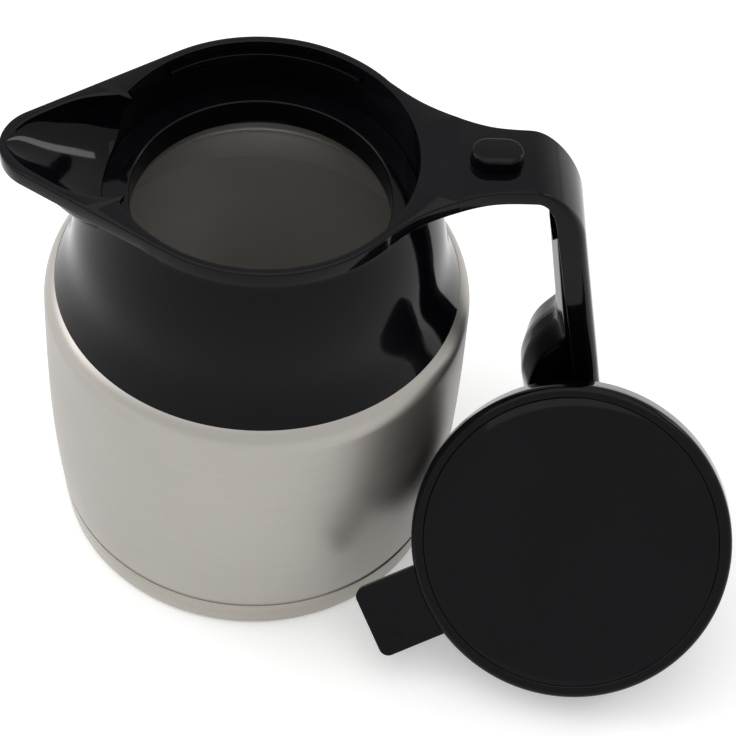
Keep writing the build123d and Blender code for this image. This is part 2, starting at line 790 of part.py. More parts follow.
def build_lid_base():
    """Deck and skirt under the cap, with bayonet lugs, lever ears and the pouring window."""
    deck = disc(lid_radius - lid_wall - fit_gap, -lid_height, -deck_top)
    skirt = ring(skirt_radius - lid_wall, skirt_radius, -skirt_bottom, -lid_height)
    body = deck + skirt
    lugs = ring(skirt_radius, lug_radius, -lug_top - lug_thickness, -lug_top)
    for middle in lug_bearings:
        body += lugs & wedge(2 * lug_radius, middle, lug_half_angle, -skirt_bottom, 0)
    body -= wedge(2 * lid_radius, 180, window_half_angle, -window_top - window_height, -window_top) \
        & ring(skirt_radius - 3 * lid_wall, skirt_radius + 1, -skirt_bottom, -lid_height)
    inner = lever_half_width + slide_gap
    outer = inner + ear_thickness
    x0 = lever_pivot_radius - lever_barrel_radius
    x1 = lever_pivot_radius + lever_barrel_radius
    for side in (-1, 1):
        y0, y1 = sorted((side * inner, side * outer))
        ear = block(x0, x1, y0, y1, -deck_top, -lever_pivot_depth + lever_barrel_radius)
        body += ear
    body -= lever_axle(lever_pin_radius, outer + 1)
    body -= disc(stem_radius + slide_gap, -lid_height, -deck_top)
    for x, y in lid_screw_places():
        body -= disc(lid_screw_radius, -lid_height, -deck_top, x, y)
    return body


def lever_axle(radius, half_length):
    """A cylinder along Y on the lever's pivot."""
    return Pos(lever_pivot_radius, 0, -lever_pivot_depth) * Rot(90, 0, 0) * Cylinder(radius, 2 * half_length)


def build_lid_plug():
    """Lower cup of the stopper: a step, a neck that carries the gasket and a floor with the port."""
    step_low = skirt_bottom + lid_wall
    step = ring(plug_radius - lid_wall, skirt_radius, -step_low, -skirt_bottom)
    spigot_outer = skirt_radius - lid_wall - fit_gap
    spigot = ring(spigot_outer - lid_wall, spigot_outer, -skirt_bottom, -skirt_bottom + plug_spigot)
    neck = ring(plug_radius - lid_wall, plug_radius, -plug_bottom, -step_low)
    floor = disc(plug_radius - lid_wall, -plug_bottom, -plug_floor_top) - disc(port_radius, -plug_bottom, 0)
    flange_high = gasket_bottom - gasket_thickness - fit_gap
    flange = ring(plug_radius, plug_radius + plug_flange_width,
                  -flange_high, -flange_high + plug_flange_height)
    return step + spigot + neck + floor + flange


def build_lid_gasket():
    """Rubber ring with two lips round the stopper's neck."""
    inner = plug_radius + fit_gap
    low = -gasket_bottom
    high = low + gasket_thickness
    bevel = gasket_radius - gasket_lip_bevel
    waist = gasket_radius - gasket_waist
    low_lip = low + gasket_lip
    high_lip = high - gasket_lip
    return spin_outline([(inner, low), (bevel, low), (gasket_radius, low_lip), (waist, low_lip),
                         (waist, high_lip), (gasket_radius, high_lip), (bevel, high), (inner, high)])


def build_lid_screws():
    """Four screws from below the deck into the cap's bosses."""
    screws = []
    for x, y in lid_screw_places():
        low = -lid_height - lid_screw_head
        head = disc(lid_screw_head_radius, low, -lid_height, x, y)
        shank = disc(lid_screw_radius - screw_gap, -lid_height, -lid_height + lid_screw_length, x, y)
        screws.append(head - screw_slot(x, y, low, lid_screw_slot) + shank)
    return Compound(screws)


def build_thumb_lever():
    """Thumb tab, pivot barrel and the forked arm that lifts the valve."""
    low = -(lever_top + lever_thickness)
    tab = block(lever_pivot_radius, lever_reach, -lever_half_width, lever_half_width, low, -lever_top)
    tips = [edge for edge in tab.edges().filter_by(Axis.Z) if edge.center().X > lever_pivot_radius + 1]
    tab = fillet(tips, lever_corner)
    tab = fillet(tab.edges().group_by(Axis.Z)[-1].filter_by(
        lambda edge: edge.center().X > lever_pivot_radius + 1), lever_edge_round)
    dot_x = lever_reach - lever_dot_inset[0]
    dot_y = lever_half_width - lever_dot_inset[1]
    dot = disc(lever_dot_radius, -lever_top - lever_dot_rise, -lever_top + lever_dot_rise, dot_x, dot_y)
    barrel = lever_axle(lever_barrel_radius, lever_half_width)
    arm = block(-stem_radius, lever_pivot_radius, -lever_arm_half_width, lever_arm_half_width,
                -arm_low, -arm_top)
    gap = stem_radius + slide_gap
    fork = block(-gap, 2 * gap + stem_radius, -gap, gap, -arm_low, -arm_top)
    body = tab + dot + barrel + (arm - fork)
    return body - lever_axle(lever_pin_radius + pin_gap, lever_half_width + 1)


def build_lever_pin():
    """Hinge pin of the lever, held in the two ears."""
    return lever_axle(lever_pin_radius, lever_half_width + slide_gap + ear_thickness)


def build_valve_plunger():
    """Headed stem and the disc that closes the port."""
    stem = disc(stem_radius, -valve_top, -stem_head_top)
    head = disc(stem_head_radius, -stem_head_low, -stem_head_top)
    plate = disc(valve_disc_radius, -seal_top, -valve_top)
    peg = disc(stem_radius, -plug_floor_top, -seal_top)
    return stem + head + plate + peg


def build_valve_seal():
    """Rubber washer under the valve disc."""
    return ring(stem_radius + fit_gap, valve_disc_radius + valve_seal_rim, -plug_floor_top, -seal_top)


def build_valve_spring():
    """Spring that holds the valve shut and the lever up."""
    return coil(valve_spring_radius, valve_spring_wire, valve_spring_turns, -valve_top + fit_gap,
                -lid_height - fit_gap)


# ---- Stand the lid on its lowest edge, leaning towards the body ---------------------------------
def lid_circles():
    """Outer circles of the lid as (depth, radius)."""
    return [
        (lid_edge_round, lid_radius),
        (lid_height, lid_radius),
        (lug_top + lug_thickness, lug_radius),
        (skirt_bottom + lid_wall, skirt_radius),
        (gasket_bottom, gasket_radius),
        (plug_bottom, plug_radius),
    ]


def lid_axes():
    """Unit vectors of the lid: the level one across it, the rising one, and its face normal."""
    heading = radians(lid_heading)
    up = radians(lid_elevation)
    normal = (cos(up) * cos(heading), cos(up) * sin(heading), sin(up))
    across = (-sin(heading), cos(heading), 0)
    rising = (-sin(up) * cos(heading), -sin(up) * sin(heading), cos(up))
    return across, rising, normal


def lid_circle_point(centre, depth, radius, angle):
    """Point on one of the lid's circles."""
    across, rising, normal = lid_axes()
    return [centre[i] - depth * normal[i] + radius * (cos(angle) * across[i] + sin(angle) * rising[i])
            for i in range(3)]


def lid_clearance(distance, height):
    """Least distance from the carafe's belly to the lid's circles."""
    bearing = radians(lid_bearing)
    centre = (distance * cos(bearing), distance * sin(bearing), height)
    least = 1e9
    for depth, radius in lid_circles():
        for i in range(180):
            point = lid_circle_point(centre, depth, radius, 2 * pi * i / 180)
            least = min(least, hypot(point[0], point[1]) - belly_radius)
    return least


def lid_plane():
    """Plane of the lid's face, with X along the thumb lever."""
    up = radians(lid_elevation)
    height = max(depth * sin(up) + radius * cos(up) for depth, radius in lid_circles())
    near = belly_radius
    far = belly_radius + 3 * lid_radius
    for _ in range(30):
        middle = (near + far) / 2
        if lid_clearance(middle, height) < lean_gap:
            near = middle
        else:
            far = middle
    bearing = radians(lid_bearing)
    across, rising, normal = lid_axes()
    turn = radians(lid_turn)
    lever = [cos(turn) * across[i] + sin(turn) * rising[i] for i in range(3)]
    return Plane(origin=(far * cos(bearing), far * sin(bearing), height), x_dir=lever, z_dir=normal)


standing = lid_plane().location
lid_nodes = {
    "lid_top": build_lid_top(),
    "lid_base": build_lid_base(),
    "lid_plug": build_lid_plug(),
    "lid_gasket": build_lid_gasket(),
    "lid_screws": build_lid_screws(),
    "thumb_lever": build_thumb_lever(),
    "lever_pin": build_lever_pin(),
    "valve_plunger": build_valve_plunger(),
    "valve_seal": build_valve_seal(),
    "valve_spring": build_valve_spring(),
}
for node, solid in lid_nodes.items():
    save(node, standing * solid)
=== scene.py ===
"""Looks for the vacuum carafe and its lid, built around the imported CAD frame."""

import json
import math

import bmesh
import bpy
import numpy as np
from mathutils import Matrix, Vector


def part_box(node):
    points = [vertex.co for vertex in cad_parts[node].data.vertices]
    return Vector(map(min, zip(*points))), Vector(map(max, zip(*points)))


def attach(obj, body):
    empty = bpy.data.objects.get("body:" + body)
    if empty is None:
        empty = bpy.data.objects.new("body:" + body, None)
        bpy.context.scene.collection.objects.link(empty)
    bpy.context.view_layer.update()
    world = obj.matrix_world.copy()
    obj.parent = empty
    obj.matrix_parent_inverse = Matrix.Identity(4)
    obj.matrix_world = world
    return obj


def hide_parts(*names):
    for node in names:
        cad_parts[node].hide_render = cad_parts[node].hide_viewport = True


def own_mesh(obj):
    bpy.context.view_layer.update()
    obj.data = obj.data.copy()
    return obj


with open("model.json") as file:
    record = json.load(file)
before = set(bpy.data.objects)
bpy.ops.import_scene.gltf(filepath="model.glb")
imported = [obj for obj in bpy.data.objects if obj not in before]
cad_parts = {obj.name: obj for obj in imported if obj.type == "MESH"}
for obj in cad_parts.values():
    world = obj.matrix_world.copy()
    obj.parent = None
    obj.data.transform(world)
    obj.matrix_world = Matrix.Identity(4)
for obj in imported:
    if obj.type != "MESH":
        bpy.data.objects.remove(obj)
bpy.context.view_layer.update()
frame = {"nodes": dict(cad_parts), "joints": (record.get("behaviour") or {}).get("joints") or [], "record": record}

MM = 0.001

# ---- Sizes in millimetres, as in the part unless a comment says otherwise --------------------------
rim_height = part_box("collar")[1].z / MM
band_height = 5.2
band_low = rim_height - band_height
rim_radius = 51.9
rim_lip_radius = 49.2
rim_lip_thickness = 2.2
mouth_radius = 50.2
seam_height = 107.1
seam_radius = 66.0
belly_radius = 69.6
belly_height = 92.0
shell_corner_height = 98.5
shell_start = 14.4
shell_start_radius = 65.9
steel_wall = 1.0
upright = (0, 1)          # ways that the steel's outline runs, as (out, up)
wall_way = (0.13, 1)
shoulder_way = (-1, 0.8)
seam_lap = 3.4            # how far the shell turns in under the collar
shell_edge = 0.25
groove_height = 2.4
vessel_inset = 4.6
vessel_wall = 0.8
vessel_floor = 17.0
vessel_flat = 25.0        # radius of the flat in the middle of its floor
vessel_corner = 9.0
vessel_shoulder = 61.4
groove_radius = 65.3      # 0.4 shallower than the part's, for a faint look
ledge_depth = 19.5
ledge_height = rim_height - ledge_depth
ledge_thickness = 2.2
ledge_low = ledge_height - ledge_thickness
liner_neck_radius = 41.6
liner_skirt_low = 134.3
liner_gap = 0.05
neck_radius = 43.1
neck_height = 139.6
collar_wall = 2.4
seat_radius = 47.5
rib_top = 158.3
rib_low = 156.3
rib_depth = 1.5
rib_half_angle = 38.0
spout_reach = 81.5
spout_tip_radius = 16.0
channel_start = 40.2
channel_end = 79.5
channel_half_width = 22.2
channel_ratios = (        # shares of the run, half width and depth, and squareness (2 is an ellipse)
    (0.0, 1.04, 1.0, 3.6),
    (0.2, 1.0, 1.0, 3.4),
    (0.43, 0.914, 0.8, 2.9),
    (0.69, 0.65, 0.45, 2.3),
    (0.9, 0.34, 0.15, 2.0),
    (1.0, 0.06, 0.03, 2.0),
)
edge_bevel = 0.55
mouth_bevel = 0.45
scoop_limit = 0.75        # angle from the spout's axis, in radians, past which the band's underside is level
lip_blend = 3.0           # degrees over which the channel's edge runs into the rim's lip
strap_join = 62.0
strap_overlap = 1.2
strap_end = 84.0
grip_half_width = 13.9
grip_edge_round = 4.0
insert_half_width = 11.8
insert_crest = 3.5        # half width of the flat along the insert's front
insert_bevel = 2.2
insert_edge_round = 0.5
button_centre = 73.0
button_length = 16.3
button_width = 11.0
button_rise = 4.5
button_gap = 0.3
button_wall = 1.3
button_lip = 1.0
button_edge_round = 0.9
flange_low = 161.3
flange_top = 162.15
flange_clearance = 0.05
cover_top = 159.1
cover_length = 28.1
cover_width = 16.0
gusset_start = 50.4
gusset_end = 58.9
gusset_drop = 16.0
gusset_half_width = 11.0
past_surface = 1.0        # how far a cut runs past a surface, so that it leaves no skin
axis_radius = 0.01        # stands for the axis in a turned outline
square_rim = 0.01         # rounding of a block whose rims look sharp
lid_radius = 52.5
lid_height = 11.2
lid_wall = 1.8
lid_edge_round = 2.4
lid_ring_radius = 48.6
lever_slot_half_width = 12.8
lever_slot_low = 7.6
lever_slot_start = 44.5


# ---- Curves ---------------------------------------------------------------------------------------
def smooth_curve(points, count, start=None, end=None):
    """Cubic spline through points, at even steps of its chord length, with end directions if given."""
    p = np.array(points, float)
    t = np.concatenate([[0], np.cumsum(np.linalg.norm(np.diff(p, axis=0), axis=1))])
    h = np.diff(t)
    n = len(p)
    slope = np.diff(p, axis=0) / h[:, None]
    a = np.eye(n)
    b = np.zeros_like(p)
    for i in range(1, n - 1):
        a[i, i - 1:i + 2] = [h[i - 1], 2 * (h[i - 1] + h[i]), h[i]]
        b[i] = 6 * (slope[i] - slope[i - 1])
    if start is not None:
        a[0, :2] = [2 * h[0], h[0]]
        b[0] = 6 * (slope[0] - np.array(start) / np.linalg.norm(start))
    if end is not None:
        a[-1, -2:] = [h[-1], 2 * h[-1]]
        b[-1] = 6 * (np.array(end) / np.linalg.norm(end) - slope[-1])
    m = np.linalg.solve(a, b)
    s = np.linspace(0, t[-1], count)
    k = np.clip(np.searchsorted(t, s, side="right") - 1, 0, n - 2)
    u = (s - t[k])[:, None]
    hk = h[k][:, None]
    v = hk - u
    return ((m[k] * v ** 3 + m[k + 1] * u ** 3) / (6 * hk)
            + (p[k] / hk - m[k] * hk / 6) * v + (p[k + 1] / hk - m[k + 1] * hk / 6) * u)


def hermite(p0, p1, d0, d1, count):
    """Cubic between two points with given end directions, scaled by the chord."""
    p0, p1, d0, d1 = (np.array(q, float) for q in (p0, p1, d0, d1))
    chord = np.linalg.norm(p1 - p0)
    d0 = d0 / np.linalg.norm(d0) * chord
    d1 = d1 / np.linalg.norm(d1) * chord
    t = np.linspace(0, 1, count)[:, None]
    return ((2 * t ** 3 - 3 * t ** 2 + 1) * p0 + (t ** 3 - 2 * t ** 2 + t) * d0
            + (-2 * t ** 3 + 3 * t ** 2) * p1 + (t ** 3 - t ** 2) * d1)


def line(p0, p1, count):
    """Even points on a straight line."""
    t = np.linspace(0, 1, count)[:, None]
    return np.array(p0, float) * (1 - t) + np.array(p1, float) * t


def ease(t):
    """Smooth step from 0 to 1."""
    return t * t * (3 - 2 * t)


def rounded(points, radius, steps=5):
    """Closed outline whose corners are rounded by a radius each, or by one for all."""
    p = [np.array(q, float) for q in points]
    radii = radius if isinstance(radius, (list, tuple)) else [radius] * len(p)
    out = []
    for i, corner in enumerate(p):
        a = p[i - 1] - corner
        b = p[(i + 1) % len(p)] - corner
        la, lb = np.linalg.norm(a), np.linalg.norm(b)
        r = min(radii[i], 0.45 * la, 0.45 * lb)
        if r < 1e-4:
            out.append(corner)
            continue
        start, end = corner + a / la * r, corner + b / lb * r
        for t in np.linspace(0, 1, steps):
            out.append((1 - t) ** 2 * start + 2 * t * (1 - t) * corner + t ** 2 * end)
    return np.array(out)


# ---- Meshes ---------------------------------------------------------------------------------------
sharp_angle = 35.0        # degrees; faces that meet at less are shaded smooth


def make_object(name, vertices, faces, material, body, node, slot, sharp=sharp_angle):
    """Mesh object in metres, smooth where its faces meet gently, riding on a CAD body."""
    mesh = bpy.data.meshes.new(name)
    mesh.from_pydata([tuple(v) for v in np.array(vertices) * MM], [], faces)
    mesh.validate()
    obj = bpy.data.objects.new(name, mesh)
    bpy.context.scene.collection.objects.link(obj)
    finish_mesh(obj, sharp)
    mesh.materials.append(material)
    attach(obj, body)
    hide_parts(node)
    return obj


def finish_mesh(obj, sharp):
    """Merge doubled points, point the faces outward and shade smooth up to an angle."""
    bm = bmesh.new()
    bm.from_mesh(obj.data)
    bmesh.ops.remove_doubles(bm, verts=bm.verts, dist=2e-6)
    bmesh.ops.dissolve_degenerate(bm, edges=bm.edges, dist=1e-6)
    bmesh.ops.recalc_face_normals(bm, faces=bm.faces)
    for face in bm.faces:
        face.smooth = True
    for edge in bm.edges:
        edge.smooth = len(edge.link_faces) == 2 and edge.calc_face_angle(0) < math.radians(sharp)
    bm.to_mesh(obj.data)
    bm.free()


def rings_to_mesh(rings, close_rings):
    """Vertices and faces of a grid of rings, each closed; the run of rings may be closed too."""
    count, around = len(rings), len(rings[0])
    vertices = np.concatenate(rings)
    faces = []
    for i in range(count if close_rings else count - 1):
        j = (i + 1) % count
        for k in range(around):
            m = (k + 1) % around
            faces.append((i * around + k, i * around + m, j * around + m, j * around + k))
    return vertices, faces


def capped(rings):
    """Vertices and faces of a run of rings, closed by a flat face at each end."""
    vertices, faces = rings_to_mesh(rings, False)
    around = len(rings[0])
    faces.append(tuple(range(around)))
    faces.append(tuple(range(len(vertices) - around, len(vertices))))
    return vertices, faces


def lathe(outline, segments=288):
    """Vertices and faces of a closed (radius, height) outline turned about Z."""
    angles = np.arange(segments) * 2 * math.pi / segments
    rings = [np.stack([r * np.cos(angles), r * np.sin(angles), np.full(segments, z)], 1) for r, z in outline]
    return rings_to_mesh(rings, True)


def inset_outline(outline, depth):
    """Closed outline moved inward by a small depth, one for all or one per point."""
    before = np.roll(outline, 1, 0)
    after = np.roll(outline, -1, 0)
    run = after - before
    run /= np.linalg.norm(run, axis=1)[:, None]
    normal = np.stack([-run[:, 1], run[:, 0]], 1)
    area = np.sum(outline[:, 0] * after[:, 1] - after[:, 0] * outline[:, 1])
    inward = normal * (1 if area > 0 else -1)
    return outline + inward * np.reshape(depth, (-1, 1))


def slab(outline, low, high, low_round, high_round, place, steps=6):
    """Closed block with the given outline, rounded at its two rims. place maps (u, v, w) to space."""
    rings = []
    quarter = np.linspace(0, math.pi / 2, steps)
    for a in quarter:
        rings.append((low_round * (1 - math.sin(a)), low + low_round * (1 - math.cos(a))))
    for a in quarter:
        rings.append((high_round * (1 - math.cos(a)), high - high_round * (1 - math.sin(a))))
    made = []
    for depth, height in rings:
        flat = inset_outline(outline, depth) if depth > 1e-6 else outline
        made.append(np.array([place(u, v, height) for u, v in flat]))
    return capped(made)


def combine(obj, tool, operation):
    """Join another object to one, or cut it away, and drop the other."""
    modifier = obj.modifiers.new("combine", "BOOLEAN")
    modifier.operation = operation
    modifier.solver = "EXACT"
    modifier.object = tool
    graph = bpy.context.evaluated_depsgraph_get()
    mesh = bpy.data.meshes.new_from_object(obj.evaluated_get(graph))
    obj.modifiers.clear()
    old = obj.data
    obj.data = mesh
    mesh.name = old.name
    bpy.data.objects.remove(tool)
    finish_mesh(obj, sharp_angle)


def tool_object(vertices, faces):
    """Bare mesh object, to be joined to another or cut from it."""
    mesh = bpy.data.meshes.new("tool")
    mesh.from_pydata([tuple(v) for v in np.array(vertices) * MM], [], faces)
    obj = bpy.data.objects.new("tool", mesh)
    bpy.context.scene.collection.objects.link(obj)
    finish_mesh(obj, sharp_angle)
    return obj


# ---- Materials ------------------------------------------------------------------------------------
def new_material(name):
    """Node material with its shader and a few handles."""
    material = bpy.data.materials.new(name)
    material.use_nodes = True
    nodes = material.node_tree.nodes
    shader = nodes["Principled BSDF"]
    return material, nodes, material.node_tree.links, shader


def noise(nodes, links, scale, detail, stretch=(1, 1, 1), roughness=0.5):
    """Noise on the object's own coordinates, stretched along its axes."""
    where = nodes.new("ShaderNodeTexCoord")
    mapping = nodes.new("ShaderNodeMapping")
    mapping.inputs["Scale"].default_value = stretch
    texture = nodes.new("ShaderNodeTexNoise")
    texture.inputs["Scale"].default_value = scale
    texture.inputs["Detail"].default_value = detail
    texture.inputs["Roughness"].default_value = roughness
    links.new(where.outputs["Object"], mapping.inputs["Vector"])
    links.new(mapping.outputs["Vector"], texture.inputs["Vector"])
    return texture


def spread(nodes, links, texture, low, high, start=0.35, end=0.65):
    """Map a texture's value to a range."""
    ramp = nodes.new("ShaderNodeMapRange")
    ramp.inputs["From Min"].default_value = start
    ramp.inputs["From Max"].default_value = end
    ramp.inputs["To Min"].default_value = low
    ramp.inputs["To Max"].default_value = high
    links.new(texture.outputs["Fac"], ramp.inputs["Value"])
    return ramp


def bump(nodes, links, texture, strength, distance, after=None):
    """Bump from a texture's value, on top of an earlier bump."""
    node = nodes.new("ShaderNodeBump")
    node.inputs["Strength"].default_value = strength
    node.inputs["Distance"].default_value = distance
    links.new(texture.outputs["Fac"], node.inputs["Height"])
    if after is not None:
        links.new(after.outputs["Normal"], node.inputs["Normal"])
    return node


def two_tone(nodes, links, texture, dark, light):
    """Colour that wanders between two tones."""
    ramp = nodes.new("ShaderNodeValToRGB")
    ramp.color_ramp.elements[0].position = 0.3
    ramp.color_ramp.elements[0].color = (*dark, 1)
    ramp.color_ramp.elements[1].position = 0.7
    ramp.color_ramp.elements[1].color = (*light, 1)
    links.new(texture.outputs["Fac"], ramp.inputs["Fac"])
    return ramp


def plastic(name, dark, light, rough_low, rough_high, level, wave):
    """Moulded plastic: slow waviness of the mould, fine handling marks and a slight colour drift."""
    material, nodes, links, shader = new_material(name)
    drift = noise(nodes, links, 22, 3)
    marks = noise(nodes, links, 900, 4, (1, 1, 0.25), 0.65)
    waviness = noise(nodes, links, 30, 1)
    tone = two_tone(nodes, links, drift, dark, light)
    links.new(tone.outputs["Color"], shader.inputs["Base Color"])
    rough = spread(nodes, links, marks, rough_low, rough_high)
    links.new(rough.outputs["Result"], shader.inputs["Roughness"])
    slow = bump(nodes, links, waviness, 0.35, wave)
    fine = bump(nodes, links, marks, 0.12, 0.00001, slow)
    links.new(fine.outputs["Normal"], shader.inputs["Normal"])
    shader.inputs["Specular IOR Level"].default_value = level
    return material


def steel(name, dark, light, rough_low, rough_high, grain, anisotropy):
    """Stainless steel with a brushed grain that runs round the body."""
    material, nodes, links, shader = new_material(name)
    streaks = noise(nodes, links, 1, 3, (14, 14, 2600), 0.7)
    broad = noise(nodes, links, 1, 2, (9, 9, 1100), 0.6)
    clouds = noise(nodes, links, 16, 4)
    tone = two_tone(nodes, links, broad, dark, light)
    links.new(tone.outputs["Color"], shader.inputs["Base Color"])
    rough = spread(nodes, links, clouds, rough_low, rough_high)
    links.new(rough.outputs["Result"], shader.inputs["Roughness"])
    first = bump(nodes, links, streaks, 0.3, grain)
    second = bump(nodes, links, clouds, 0.08, 0.0003, first)
    links.new(second.outputs["Normal"], shader.inputs["Normal"])
    shader.inputs["Metallic"].default_value = 1.0
    shader.inputs["Anisotropic"].default_value = anisotropy
    return material


def rubber(name, dark, light):
    """Soft matt rubber with a fine grain."""
    material, nodes, links, shader = new_material(name)
    grain = noise(nodes, links, 1500, 3)
    dust = noise(nodes, links, 60, 4)
    tone = two_tone(nodes, links, dust, dark, light)
    links.new(tone.outputs["Color"], shader.inputs["Base Color"])
    rough = spread(nodes, links, dust, 0.55, 0.75)
    links.new(rough.outputs["Result"], shader.inputs["Roughness"])
    pores = bump(nodes, links, grain, 0.3, 0.00003)
    links.new(pores.outputs["Normal"], shader.inputs["Normal"])
    return material


gloss_black = plastic("gloss_black", (0.0015, 0.0015, 0.0025), (0.003, 0.003, 0.0045), 0.05, 0.11, 0.12,
                      0.0004)
lid_plastic = plastic("lid_plastic", (0.003, 0.003, 0.0035), (0.005, 0.005, 0.006), 0.14, 0.24, 0.1, 0.0003)
base_plastic = plastic("base_plastic", (0.02, 0.02, 0.02), (0.035, 0.035, 0.035), 0.45, 0.6, 0.4, 0.0003)
brushed_steel = steel("brushed_steel", (0.385, 0.363, 0.337), (0.4, 0.378, 0.351), 0.34, 0.42, 0.00001, 0.6)
band_steel = steel("band_steel", (0.36, 0.34, 0.3), (0.42, 0.4, 0.355), 0.26, 0.36, 0.00002, 0.5)
inner_steel = steel("inner_steel", (0.46, 0.445, 0.425), (0.475, 0.46, 0.44), 0.34, 0.44, 0.00001, 0.3)
fastener_steel = steel("fastener_steel", (0.5, 0.5, 0.5), (0.6, 0.6, 0.6), 0.2, 0.3, 0.000005, 0.0)
getter_metal = steel("getter_metal", (0.3, 0.3, 0.31), (0.4, 0.4, 0.41), 0.5, 0.6, 0.00002, 0.0)
seal_rubber = rubber("seal_rubber", (0.05, 0.05, 0.05), (0.08, 0.08, 0.08))

slot_materials = {
    "gloss_black": gloss_black,
    "lid_plastic": lid_plastic,
    "base_plastic": base_plastic,
    "brushed_steel": brushed_steel,
    "band_steel": band_steel,
    "inner_steel": inner_steel,
    "fastener_steel": fastener_steel,
    "getter_metal": getter_metal,
    "seal_rubber": seal_rubber,
}
for entry in frame["record"]["subparts"]:
    node = frame["nodes"][entry["node"]]
    node.data.materials.clear()
    node.data.materials.append(slot_materials[entry["material_slot"]])


# ---- Steel body -----------------------------------------------------------------------------------
def shell_outline():
    """Closed section of the outer wall, from the groove to the seam under the collar."""
    outer = np.concatenate([
        hermite((shell_start_radius, shell_start), (belly_radius, belly_height), wall_way, upright, 40),
        line((belly_radius, belly_height), (belly_radius, shell_corner_height), 4)[1:],
        hermite((belly_radius, shell_corner_height), (seam_radius, seam_height),
                upright, shoulder_way, 14)[1:],
    ])
    inner = outer[::-1] - np.array([steel_wall, 0])
    inner[0] = (seam_radius - seam_lap, seam_height - steel_wall)
    groove_inside = groove_radius - steel_wall
    groove_low = shell_start - groove_height
    lower = [(groove_inside, shell_start), (groove_inside, groove_low), (groove_radius, groove_low),
             (groove_radius, shell_start), (shell_start_radius - shell_edge, shell_start)]
    outer[0] = (shell_start_radius, shell_start + shell_edge)
    upper = [(seam_radius - seam_lap, seam_height)]
    return np.concatenate([outer, upper, inner[:-1], lower])


def band_outline():
    """Closed section of the band round the foot."""
    return rounded([(62.3, 0.4), (63.3, 0.4), (64.5, 2.6), (65.5, 9.4), (65.8, 12.6), (64.95, 12.6),
                    (64.95, 10.8), (62.3, 7.8)], [0.2, 0.8, 2.0, 3.0, 0.3, 0.1, 0.1, 0.1], 6)


def vessel_outline():
    """Closed section of the inner vessel, with its floor, belly, shoulder and neck."""
    belly = belly_radius - vessel_inset
    shoulder_height = seam_height - vessel_inset
    side = hermite((shell_start_radius - vessel_inset, vessel_floor), (belly, belly_height),
                   wall_way, upright, 30)[6:]
    corner = [(side[0][0] - vessel_corner * (1 - math.sin(a)),
               vessel_floor + (side[0][1] - vessel_floor) * (1 - math.cos(a)))
              for a in np.linspace(0, math.pi / 2, 10)]
    top = hermite((belly, shell_corner_height - 1), (vessel_shoulder, shoulder_height),
                  upright, shoulder_way, 10)
    cone = rounded([(vessel_shoulder, shoulder_height), (56.9, shoulder_height), (45.7, 126.2),
                    (neck_radius, 129.4), (neck_radius, neck_height)], [0, 2.0, 2.5, 2.5, 0.0], 6)
    floor = [(axis_radius, vessel_floor), (vessel_flat, vessel_floor)]
    inside = np.concatenate([floor, corner, side[1:], top, cone])
    outside = inside[::-1] + np.array([vessel_wall, 0])
    low = vessel_floor - vessel_wall
    outside[-1] = (axis_radius, low)
    outside[-2] = (vessel_flat, low)
    near_floor = outside[:, 1] < vessel_floor + 0.5
    outside[near_floor, 1] = np.maximum(outside[near_floor, 1] - vessel_wall, low)
    return np.concatenate([inside, outside])


def liner_outline():
    """Closed section of the ledge and the neck lining."""
    neck, wall = neck_radius - liner_gap, mouth_radius - liner_gap
    return rounded([(liner_neck_radius, liner_skirt_low), (neck, liner_skirt_low), (neck, ledge_low),
                    (wall, ledge_low), (wall, ledge_height), (liner_neck_radius, ledge_height)],
                   [0.3, 0.2, 0.0, 0.1, 0.25, 0.8], 7)


make_object("body_shell", *lathe(shell_outline()), brushed_steel, "carafe", "outer_shell", "brushed_steel")
make_object("foot_band", *lathe(band_outline()), band_steel, "carafe", "base_band", "band_steel")
make_object("vessel_lining", *lathe(vessel_outline()), inner_steel, "carafe", "inner_vessel", "inner_steel")
make_object("neck_lining", *lathe(liner_outline()), gloss_black, "carafe", "mouth_liner", "gloss_black")


# ---- Collar with its spout and the root of the strap ----------------------------------------------
dome = smooth_curve([
    (seam_radius, seam_height),
    (seam_radius - 4.3, seam_height + 11.9),
    (rim_radius + 7.2, seam_height + 25.9),
    (rim_radius + 3.9, band_low - 11.6),
    (rim_radius, band_low),
], 200)
spout_distance = spout_reach - spout_tip_radius
spout_lean = math.asin((rim_radius - spout_tip_radius) / spout_distance)


def beak_radius(phi):
    """Radius of the rim and spout's outline at an angle from the spout's axis."""
    tip_angle = math.atan2(spout_tip_radius * math.cos(spout_lean),
                           spout_distance + spout_tip_radius * math.sin(spout_lean))
    if phi >= math.pi / 2 - spout_lean:
        return rim_radius
    if phi >= tip_angle:
        return rim_radius / math.sin(phi + spout_lean)
    return spout_distance * math.cos(phi) + math.sqrt(
        spout_tip_radius ** 2 - (spout_distance * math.sin(phi)) ** 2)


strap_root_x = 40.0
strap_edge = smooth_curve([
    (strap_root_x, math.sqrt(rim_radius ** 2 - strap_root_x ** 2)),
    (50, 24.6),
    (61, 18.6),
    (72, grip_half_width + 0.9),
    (strap_end, grip_half_width),
], 120)


def strap_half_width(x):
    """Half the strap's width at a place along it."""
    return np.interp(x, strap_edge[:, 0], strap_edge[:, 1])


near_edge = strap_edge[strap_edge[:, 0] <= strap_join]
near_edge = np.concatenate([near_edge, [(strap_join, strap_half_width(strap_join))]])
strap_angles = np.arctan2(near_edge[:, 1], near_edge[:, 0])[::-1]
strap_radii = np.hypot(near_edge[:, 0], near_edge[:, 1])[::-1]


def strap_radius(theta):
    """Radius of the strap root's outline at an angle from the handle's axis."""
    if theta > strap_angles[-1]:
        return 0.0
    if theta < strap_angles[0]:
        return strap_join / math.cos(theta)
    return float(np.interp(theta, strap_angles, strap_radii))


